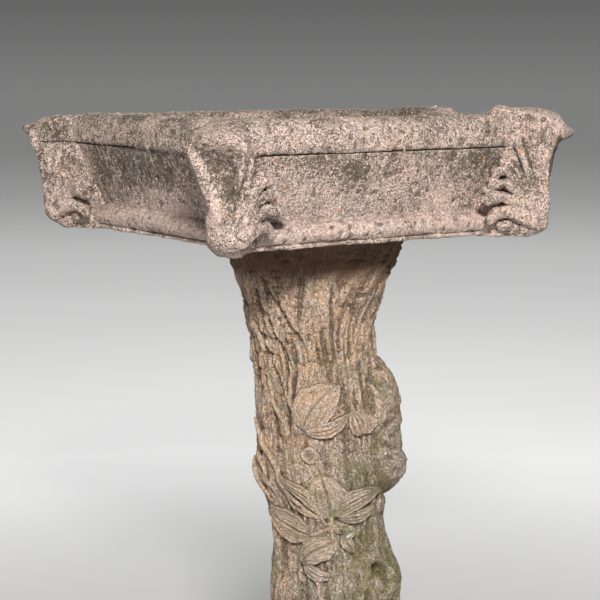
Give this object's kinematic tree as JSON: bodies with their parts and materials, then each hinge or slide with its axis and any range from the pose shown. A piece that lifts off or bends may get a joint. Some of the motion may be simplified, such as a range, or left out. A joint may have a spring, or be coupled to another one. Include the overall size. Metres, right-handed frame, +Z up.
{
  "type": "bird bath",
  "caption": "Garden bird bath: a square dished basin in cast stone with a curled leaf bracket at each corner, on a pedestal cast as a gnarled tree trunk.",
  "frame": {"origin": "on the ground, under the basin's centre, which is the middle of the bounding box's bottom", "axes": "+Z up; the basin's sides run along X and Y, and its corners point at 45 degrees between them; the trunk leans towards +X -Y"},
  "size_m": [0.4132, 0.4132, 0.72],
  "materials": {
    "basin_stone": "matte",
    "trunk_stone": "matte",
    "mortar": "matte",
    "dowel_steel": "satin",
    "sleeve_steel": "satin",
    "reinforcement_steel": "matte"
  },
  "bodies": {
    "pedestal": {"trunk": "trunk_stone", "trunk_bars": "reinforcement_steel", "trunk_ties": "reinforcement_steel", "locating_dowel": "dowel_steel", "dowel_grout": "mortar", "bedding_mortar": "mortar"},
    "basin": {"basin": "basin_stone", "dowel_sleeve": "sleeve_steel", "rim_hoop": "reinforcement_steel", "floor_bars": "reinforcement_steel"}
  },
  "joints": [
    {"name": "basin_lift", "type": "slide", "parent": "pedestal", "child": "basin", "axis": [0, 0, 1], "range_m": [0, 0.06]}
  ]
}
